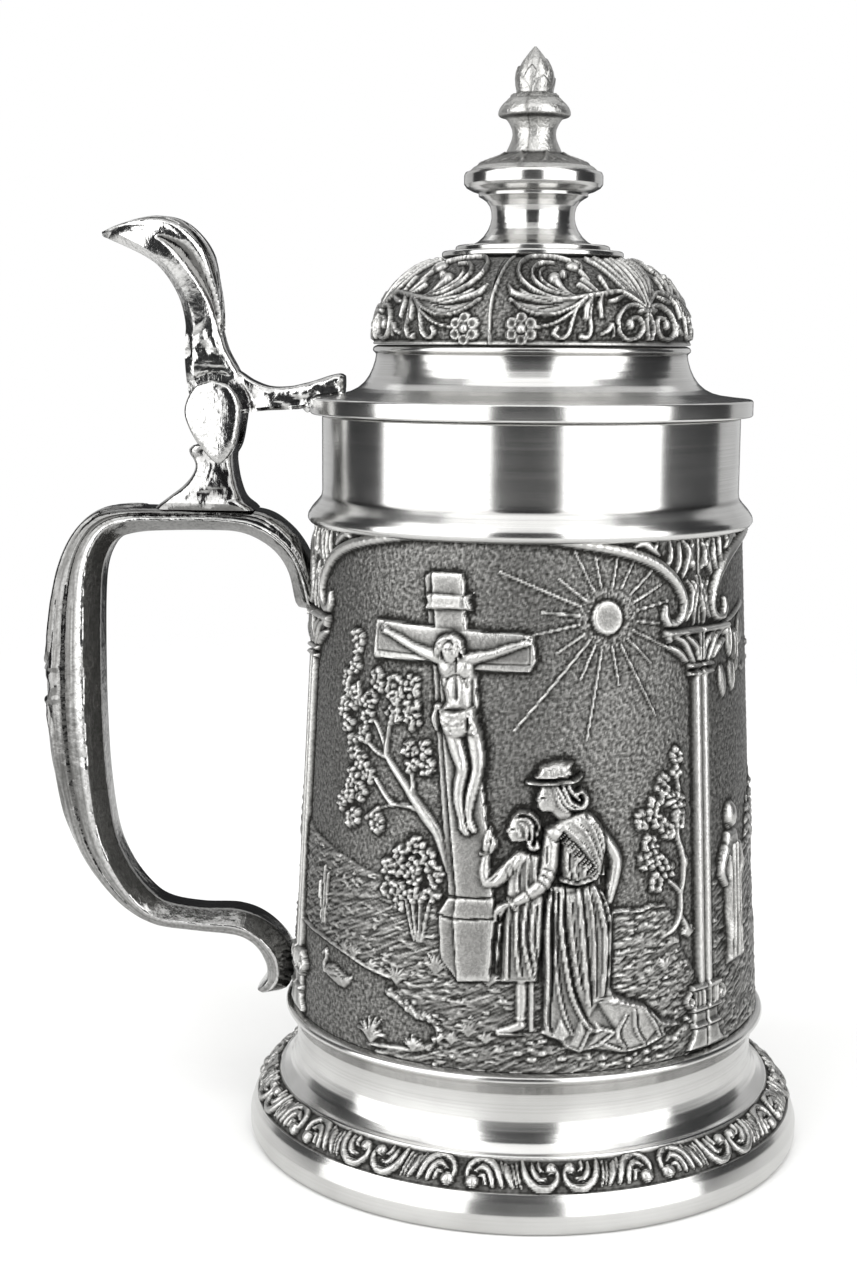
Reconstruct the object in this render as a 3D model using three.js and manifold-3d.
// A lidded pewter tankard of about half a litre: turned foot, rim and lid ring, a drum and a lid dome built from
// cast relief segments, a strap handle, and a hinged lid that a thumb lift opens. Millimetres, +Z up.
// The shapes are written about the drum's axis; the whole model is then moved so that the middle of its
// bounding box stands over the origin, with the handle towards -X.
import * as THREE from 'three';
import { mergeVertices } from 'three/addons/utils/BufferGeometryUtils.js';
import Module from 'manifold-3d';

const wasm = await Module();
wasm.setup();

// ---- driving dimensions ----
const BIG_SIDES = 40;          // facets round the large turned pieces
const SMALL_SIDES = 24;        // facets round the finial
const JOINT_GAP = 0.1;         // between pieces that are soldered to one another
const SEAM_GAP = 0.2;          // between neighbouring drum panels and dome segments

const FOOT_R = 58.67;
const FOOT_TOP = 28.64;
const DRUM_R_LOW = 49.0;       // outside of the drum on the foot
const DRUM_R_HIGH = 43.75;     // outside of the drum under the rim
const DRUM_TOP = 131.3;
const DRUM_WALL = 2.4;
const RIM_R = 43.0;
const RIM_TOP = 152.0;
const LID_BOTTOM = 152.2;
const LID_FLANGE_R = 45.42;
const DOME_BOTTOM = 166.4;
const DOME_TOP = 183.6;
const STEM_BOTTOM = 183.75;
const STEM_TOP = 200.9;
const TIP_Z = 225.7;
const BOLT_HOLE_R = 2.25;

const HANDLE_REACH = 102.0;    // from the drum's axis to the back of the handle
const HANDLE_TOP = 132.6;      // the flat on top that carries the hinge
const HANDLE_WIDTH = 13.0;
const HINGE_X = -65.2;
const HINGE_Z = 152.8;
const KNUCKLE_R = 6.0;
const HINGE_WIDTH = 13.4;      // over both outer knuckles
const SLOT_WIDTH = 6.6;        // between the outer knuckles
const TONGUE_WIDTH = 6.1;      // the thumb lift's own knuckle, inside the slot
const PIN_R = 1.5;
const PIN_HOLE_R = 1.6;
const PIN_SIDES = 24;

const SEAM_ANGLES = [-162.6, -42.6, 77.4];        // degrees from +X: the drum's three columns
const DOME_SEAM_ANGLES = [-105, 15, 135];         // degrees from +X: the lid dome's three seams
const AXIS_X = (HANDLE_REACH - FOOT_R) / 2;       // the drum's axis in the finished model

// ---- materials ----
const metal = (color, roughness) => new THREE.MeshStandardMaterial({ color, roughness, metalness: 1 });
const turnedPewter = metal(0xc9cac8, 0.3);
const reliefPewter = metal(0x7c7d7b, 0.5);
const polishedPewter = metal(0xbfc0bf, 0.18);
const hingeSteel = metal(0xa5a6a8, 0.35);

// ---- helpers ----

// A closed geometry as a manifold solid, whichever way its faces were wound.
function solid(geometry) {
  const bare = geometry.clone();
  bare.deleteAttribute('normal');
  bare.deleteAttribute('uv');
  const merged = mergeVertices(bare, 1e-4);
  const index = merged.index.array;
  const points = merged.attributes.position.array;
  const triangles = [];
  let volume = 0;
  for (let i = 0; i < index.length; i += 3) {
    const [a, b, c] = [index[i], index[i + 1], index[i + 2]];
    if (a === b || b === c || c === a) continue;
    triangles.push(a, b, c);
    const corners = [a, b, c].map((k) => new THREE.Vector3().fromArray(points, 3 * k));
    volume += corners[0].dot(corners[1].cross(corners[2]));
  }
  if (volume < 0) triangles.reverse();
  return new wasm.Manifold(new wasm.Mesh({
    numProp: 3,
    vertProperties: new Float32Array(points),
    triVerts: new Uint32Array(triangles),
  }));
}

// A manifold solid as a named mesh.
function mesh(name, body, material) {
  const result = body.getMesh();
  const geometry = new THREE.BufferGeometry();
  geometry.setAttribute('position', new THREE.BufferAttribute(result.vertProperties, 3));
  geometry.setIndex(new THREE.BufferAttribute(result.triVerts, 1));
  geometry.computeVertexNormals();
  const piece = new THREE.Mesh(geometry, material);
  piece.name = name;
  return piece;
}

// A turned solid: [radius, z] points that start and end on the axis or close on themselves.
function turned(profile, sides = BIG_SIDES) {
  const closed = profile[0][0] === 0 ? profile : [...profile, profile[0]];
  const geometry = new THREE.LatheGeometry(closed.map(([r, z]) => new THREE.Vector2(r, z)), sides);
  return solid(geometry.rotateX(Math.PI / 2));
}

// A flat outline in x and z, given a width across y. Its edges slope by the bevel, which is measured across y,
// and by the inset, which stays inside the outline. Fineness is the steps for each point of a smooth line.
function plate(outline, width, { bevel = 0, inset = 0.3, fineness = 2 } = {}) {
  const shortest = 0.3;
  const points = outline.extractPoints(fineness).shape
    .filter((point, i, all) => point.distanceTo(all[(i + 1) % all.length]) > shortest);
  const geometry = new THREE.ExtrudeGeometry(new THREE.Shape(points), {
    depth: width - 2 * bevel,
    bevelEnabled: bevel > 0,
    bevelThickness: bevel,
    bevelSize: inset,
    bevelOffset: -inset,
    bevelSegments: 2,
  });
  geometry.translate(0, 0, -(width - 2 * bevel) / 2);
  return solid(geometry.rotateX(Math.PI / 2));
}

// A polygon given a height along z.
function block(points, zLow, zHigh) {
  const outline = new THREE.Shape(points.map(([x, y]) => new THREE.Vector2(x, y)));
  const geometry = new THREE.ExtrudeGeometry(outline, { depth: zHigh - zLow, bevelEnabled: false });
  return solid(geometry.translate(0, 0, zLow));
}

// The sector between two angles in degrees, less half a seam on each straight side.
function sector(from, to, zLow, zHigh) {
  const reach = 90;
  const steps = 6;
  const middle = THREE.MathUtils.degToRad((from + to) / 2);
  const half = THREE.MathUtils.degToRad((to - from) / 2);
  const back = SEAM_GAP / 2 / Math.sin(half);
  const apex = [back * Math.cos(middle), back * Math.sin(middle)];
  const points = [apex];
  for (let i = 0; i <= steps; i++) {
    const angle = middle - half + (2 * half * i) / steps;
    points.push([apex[0] + reach * Math.cos(angle), apex[1] + reach * Math.sin(angle)]);
  }
  return block(points, zLow, zHigh);
}

// A straight round bar along y through the hinge's axis.
function hingeBar(radius, yLow, yHigh) {
  const geometry = new THREE.CylinderGeometry(radius, radius, yHigh - yLow, PIN_SIDES);
  return solid(geometry.translate(HINGE_X, (yLow + yHigh) / 2, HINGE_Z));
}

// A smooth line through points, added to an outline that is already at its start.
function through(outline, points) {
  outline.splineThru(points.map(([x, z]) => new THREE.Vector2(x, z)));
}

const drumRadius = (z) => {
  const share = (z - FOOT_TOP) / (DRUM_TOP - FOOT_TOP);
  return DRUM_R_LOW + (DRUM_R_HIGH - DRUM_R_LOW) * share;
};

// ---- foot ----

const footProfile = [
  [55.0, 0], [58.06, 0], [FOOT_R, 3.56], [57.69, 7.31],
  [56.6, 9.4], [54.6, 11.4], [52.06, 12.84],
  [50.0, 14.8], [48.8, 17.6], [48.5, 21.3], [49.0, 24.2],
  [50.2, 26.4], [51.05, 27.4], [50.8, 28.2], [49.6, FOOT_TOP],
  [40.0, FOOT_TOP], [40.0, 26.4], [45.2, 24.2], [46.0, 20.0], [47.6, 14.0], [52.4, 9.0], [55.0, 5.4],
];
const footRing = turned(footProfile);

const plateLow = FOOT_TOP + JOINT_GAP;
const plateHigh = plateLow + 1.5;
const plateR = drumRadius(plateHigh) - DRUM_WALL - 0.25;
const bottomPlate = turned([[0, plateLow], [plateR, plateLow], [plateR, plateHigh], [0, plateHigh]]);

// ---- drum: three cast panels that meet in the middle of the columns ----

// A ring that follows the drum's taper, between two heights and two distances from the drum's outside.
function drumRing(zLow, zHigh, inward, outward) {
  return turned([
    [drumRadius(zLow) - inward, zLow], [drumRadius(zLow) + outward, zLow],
    [drumRadius(zHigh) + outward, zHigh], [drumRadius(zHigh) - inward, zHigh],
  ]);
}

const panelLow = FOOT_TOP + JOINT_GAP;
const embed = 0.6;                 // how deep the mouldings reach into the wall
const drumWall = drumRing(panelLow, DRUM_TOP, DRUM_WALL, 0);
// Each moulding of a column: half its width in degrees, its heights, and how far it stands out.
const columnMouldings = [
  { half: 6.5, low: panelLow, high: 32.5, out: 1.3 },
  { half: 5.0, low: 32.5, high: 41.5, out: 1.0 },
  { half: 3.2, low: 41.5, high: 104.0, out: 0.8 },
  { half: 5.6, low: 104.0, high: 108.5, out: 1.1 },
  { half: 9.0, low: 108.5, high: 112.6, out: 1.4 },
];
const archBand = drumRing(127.2, 129.2, embed, 0.8);

function drumPanel(from, to) {
  let panel = drumWall.intersect(sector(from, to, 0, 140));
  for (const { half, low, high, out } of columnMouldings) {
    const ring = drumRing(low, high, embed, out);
    panel = panel.add(ring.intersect(sector(from, from + half, low - 1, high + 1)));
    panel = panel.add(ring.intersect(sector(to - half, to, low - 1, high + 1)));
  }
  return panel.add(archBand.intersect(sector(from, to, 120, 135)));
}

const panelNames = ['relief_panel_front', 'relief_panel_right', 'relief_panel_left'];
const drumPanels = panelNames.map((name, i) =>
  mesh(name, drumPanel(SEAM_ANGLES[i], SEAM_ANGLES[i] + 120), reliefPewter));

// ---- drinking rim, which caps the panels ----

const rimCollar = turned([
  [40.8, RIM_TOP], [41.0, 134.4], [41.35, DRUM_TOP + JOINT_GAP], [DRUM_R_HIGH + 0.2, DRUM_TOP + JOINT_GAP],
  [DRUM_R_HIGH + 0.3, 129.6], [45.7, 130.5], [46.0, 131.2], [45.8, 132.1], [44.9, 133.3],
  [43.6, 134.5], [RIM_R, 135.6], [RIM_R, RIM_TOP - 0.3], [RIM_R - 0.3, RIM_TOP],
]);

// ---- handle: a strap, drawn from the side ----

const handleOutline = new THREE.Shape();
handleOutline.moveTo(-60, HANDLE_TOP);
handleOutline.lineTo(-84, HANDLE_TOP);
through(handleOutline, [
  [-89.6, 131.6], [-94.6, 127.8], [-98.2, 121.4], [-100.6, 112.2], [-101.9, 99.0], [-101.8, 88.0],
  [-100.7, 76.5], [-97.9, 64.3], [-94.0, 55.4], [-87.0, 47.0], [-79.5, 42.6], [-70.0, 41.3],
  [-61.4, 40.4], [-57.4, 38.0], [-55.6, 34.0], [-56.0, 30.4], [-57.4, 28.2],
]);
through(handleOutline, [[-55.4, 27.2], [-52.6, 27.8], [-50.2, 30.2], [-49.0, 33.5], [-48.4, 38.0]]);
through(handleOutline, [
  [-51.4, 40.2], [-55.4, 43.6], [-61.3, 46.0], [-70.0, 46.2], [-77.0, 47.6], [-82.4, 51.6],
  [-87.0, 60.0], [-89.0, 69.4], [-89.9, 84.0], [-90.1, 100.0], [-89.9, 113.0], [-89.4, 120.6],
  [-87.4, 124.6], [-83.4, 126.8],
]);
handleOutline.lineTo(-69.0, 127.6);
through(handleOutline, [[-60.6, 127.6], [-54.4, 124.6], [-50.2, 119.6], [-48.8, 112.8]]);
handleOutline.lineTo(-42.0, 113.2);
through(handleOutline, [[-44.2, 118.6], [-46.2, 123.8], [-50.0, 128.8], [-54.8, 131.8], [-60, HANDLE_TOP]]);

// The drum and the foot with room for solder: what the handle's two ends are fitted against.
const handleSeat = turned([
  [0, 0], [FOOT_R, 0], [52.4, 14], [49.4, 24.2], [51.3, 26.6], [51.3, 28.4], [49.9, 28.9],
  [drumRadius(30) + 0.15, 30], [drumRadius(129) + 0.15, 129], [44.2, 129.4], [46.3, 130.4], [46.3, 134], [0, 134],
]);
const handle = plate(handleOutline, HANDLE_WIDTH, { bevel: 2.4, inset: 0.6 }).subtract(handleSeat);

// ---- hinge: a post on the handle with two outer knuckles, and its pin ----

const postOutline = new THREE.Shape();
postOutline.moveTo(-57.6, HANDLE_TOP + JOINT_GAP);
through(postOutline, [[-59.0, 134.6], [-60.3, 138.4], [-60.7, 143.0], [-60.4, 146.6], [-60.2, 149.4]]);
postOutline.absarc(HINGE_X, HINGE_Z, KNUCKLE_R, -0.6, Math.PI + 0.5, false);
through(postOutline, [[-72.0, 146.8], [-71.4, 142.2], [-72.4, 138.0], [-75.0, 135.2], [-77.6, HANDLE_TOP + JOINT_GAP]]);

const slotLow = 143.6;
const knuckleSlot = block([
  [-90, -SLOT_WIDTH / 2], [-40, -SLOT_WIDTH / 2], [-40, SLOT_WIDTH / 2], [-90, SLOT_WIDTH / 2],
], slotLow, 170);
const blindEnd = -HINGE_WIDTH / 2 + 1.6;          // the pin's hole stops short of the near knuckle's face
const hingePost = plate(postOutline, HINGE_WIDTH, { fineness: 5 })
  .subtract(knuckleSlot)
  .subtract(hingeBar(PIN_HOLE_R, blindEnd, HINGE_WIDTH));
const hingePin = hingeBar(PIN_R, blindEnd + 0.3, HINGE_WIDTH / 2 - 0.2);

// ---- thumb lift: knuckle, lever to the lid, and the leaf that the thumb pushes ----

const tongueOutline = new THREE.Shape();
tongueOutline.moveTo(-58.2, 152.4);
tongueOutline.lineTo(-57.6, 157.6);
through(tongueOutline, [[-60.2, 160.6], [-62.6, 164.8], [-64.0, 169.2]]);
tongueOutline.lineTo(-71.0, 169.2);
through(tongueOutline, [[-71.6, 164.0], [-71.3, 158.8], [-70.4, 155.4]]);
tongueOutline.absarc(HINGE_X, HINGE_Z, KNUCKLE_R - 0.2, Math.PI - 0.4, 2 * Math.PI - 0.3, false);
tongueOutline.lineTo(-58.2, 152.4);

const leverOutline = new THREE.Shape([
  [-58.4, 152.5], [-45.6, 153.2], [-45.6, 155.0], [-38.6, 155.0], [-38.6, 159.0], [-39.5, 160.2],
  [-43.5, 159.6], [-49.0, 157.9], [-55.1, 157.2], [-58.4, 158.4],
].map(([x, z]) => new THREE.Vector2(x, z)));

const leafOutline = new THREE.Shape();
leafOutline.moveTo(-61.4, 162.6);
through(leafOutline, [
  [-64.0, 169.1], [-64.4, 177.2], [-65.0, 182.0], [-67.6, 187.2], [-71.2, 190.8], [-75.4, 192.1],
  [-81.0, 191.2], [-88.2, 188.0],
]);
through(leafOutline, [[-80.4, 184.6], [-76.2, 181.6], [-73.4, 177.2], [-71.2, 171.0], [-71.6, 162.6]]);

// How wide the leaf is across the hinge: first by height, seen from the front, then by reach, seen from above.
const leafFront = [[3.0, 162], [4.2, 166], [4.6, 172], [5.8, 178], [7.6, 183], [8.2, 187], [7.6, 190], [5.0, 192.4]];
const leafTop = [[-58, 8.6], [-78, 8.2], [-83, 6.6], [-86.6, 3.6], [-88.6, 1.0]];
const bothSides = (line) => [...line, ...line.map(([x, y]) => [x, -y]).reverse()];
const leafReach = { back: -92, front: -56 };
const leafFrontShape = new THREE.Shape(bothSides(leafFront.map(([half, z]) => [z, half]))
  .map(([z, y]) => new THREE.Vector2(y, z)));
const leafFrontGeometry = new THREE.ExtrudeGeometry(leafFrontShape, {
  depth: leafReach.front - leafReach.back,
  bevelEnabled: false,
});
// Stood up, so that the outline lies in y and z and its depth runs along x.
leafFrontGeometry.rotateX(Math.PI / 2).rotateZ(Math.PI / 2).translate(leafReach.back, 0, 0);
const leaf = plate(leafOutline, 17.2)
  .intersect(solid(leafFrontGeometry))
  .intersect(block(bothSides(leafTop), 150, 200));

// The lid ring's upper side with room for solder, which the lever's end is fitted against.
const leverSeat = turned([
  [0, 150], [LID_FLANGE_R + 0.15, 150], [LID_FLANGE_R + 0.15, 155.7], [42.75, 156.1], [37.35, 156.95],
  [35.3, 158.1], [33.9, 159.4], [0, 170],
]);
const thumbLift = plate(tongueOutline, TONGUE_WIDTH, { fineness: 5 })
  .add(plate(leverOutline, 9.0, { bevel: 0.8 }).subtract(leverSeat))
  .add(leaf)
  .subtract(hingeBar(PIN_HOLE_R, -10, 10));

// ---- lid ----

const lidRing = turned([
  [38.5, LID_BOTTOM], [45.1, LID_BOTTOM], [LID_FLANGE_R, 152.5], [LID_FLANGE_R, 155.3], [45.1, 155.6],
  [42.6, 155.9], [37.2, 156.7], [35.1, 157.8], [33.7, 159.1], [32.7, 160.7], [32.0, 162.6], [31.9, 164.8],
  [32.6, 165.3], [32.2, 166.0], [31.6, DOME_BOTTOM - JOINT_GAP],
  [30.0, DOME_BOTTOM - JOINT_GAP], [30.0, 161.5], [31.2, 158.8], [33.2, 156.8], [35.6, 155.4], [38.5, 154.6],
]);

const domeShell = turned([
  [30.0, DOME_BOTTOM], [32.0, DOME_BOTTOM], [32.1, 169.0], [31.8, 171.4], [30.7, 173.9], [29.4, 176.3],
  [27.5, 178.7], [24.6, 181.1], [21.4, 182.6], [17.5, DOME_TOP - 0.2], [8.0, DOME_TOP],
  [8.0, 181.8], [16.8, 181.5], [20.6, 180.6], [23.4, 179.4], [26.2, 176.6], [28.4, 172.8], [29.9, 169.0],
]);
const domeSegments = DOME_SEAM_ANGLES.map((from, i) =>
  mesh(`lid_dome_segment_${i + 1}`, domeShell.intersect(sector(from, from + 120, 160, 190)), reliefPewter));

// ---- finial: turned stem, cast bud, and the screw that holds both from inside the lid ----

const finialStem = turned([
  [BOLT_HOLE_R, STEM_BOTTOM], [18.3, STEM_BOTTOM], [18.5, 184.4], [18.3, 185.0], [15.7, 185.1], [15.7, 186.3],
  [12.4, 186.6], [10.6, 187.5], [9.1, 189.1], [8.5, 190.6], [8.35, 192.6], [8.7, 194.2], [9.6, 195.5],
  [11.2, 196.6], [11.3, 197.3], [13.7, 198.3], [14.05, 199.1], [14.05, 200.2], [13.7, STEM_TOP],
  [BOLT_HOLE_R, STEM_TOP],
], SMALL_SIDES);

const budLow = STEM_TOP + JOINT_GAP;
const boltTop = 208.0;
const finialBud = turned([
  [0, boltTop + 0.5], [BOLT_HOLE_R, boltTop + 0.5], [BOLT_HOLE_R, budLow], [13.1, budLow], [12.95, 201.5],
  [11.6, 202.6], [9.0, 203.8], [6.1, 204.6], [5.6, 205.4], [4.75, 207.0], [4.45, 208.5], [4.85, 210.1],
  [5.9, 211.6], [7.2, 212.6], [7.4, 213.2], [6.7, 214.4], [5.3, 215.6], [3.9, 216.5], [3.85, 217.6],
  [4.05, 219.0], [3.8, 221.0], [3.2, 222.6], [1.9, 224.3], [0, TIP_Z],
], SMALL_SIDES);

const screwHead = [4.4, 2.4];      // radius and height
const washerLow = 180.1;
const finialWasher = turned([
  [BOLT_HOLE_R, washerLow], [10.5, washerLow], [10.5, washerLow + 1.3], [BOLT_HOLE_R, washerLow + 1.3],
], SMALL_SIDES);
const headTop = washerLow - JOINT_GAP;
const hexagon = [0, 1, 2, 3, 4, 5].map((k) => [
  screwHead[0] * Math.cos((k * Math.PI) / 3), screwHead[0] * Math.sin((k * Math.PI) / 3),
]);
const finialScrew = block(hexagon, headTop - screwHead[1], headTop)
  .add(turned([[0, headTop - 1], [2.0, headTop - 1], [2.0, boltTop], [0, boltTop]], 16));

// ---- assembly ----

const tankard = new THREE.Group();
tankard.add(
  mesh('foot_ring', footRing, turnedPewter),
  mesh('bottom_plate', bottomPlate, turnedPewter),
  ...drumPanels,
  mesh('rim_collar', rimCollar, turnedPewter),
  mesh('handle', handle, polishedPewter),
  mesh('hinge_post', hingePost, polishedPewter),
  mesh('hinge_pin', hingePin, hingeSteel),
);

const lid = new THREE.Group();
lid.add(
  mesh('thumb_lift', thumbLift, polishedPewter),
  mesh('lid_ring', lidRing, turnedPewter),
  ...domeSegments,
  mesh('finial_stem', finialStem, turnedPewter),
  mesh('finial_bud', finialBud, reliefPewter),
  mesh('finial_screw', finialScrew, hingeSteel),
  mesh('finial_washer', finialWasher, hingeSteel),
);

const assembly = new THREE.Group();
assembly.add(tankard, lid);
assembly.position.x = AXIS_X;

export default assembly;
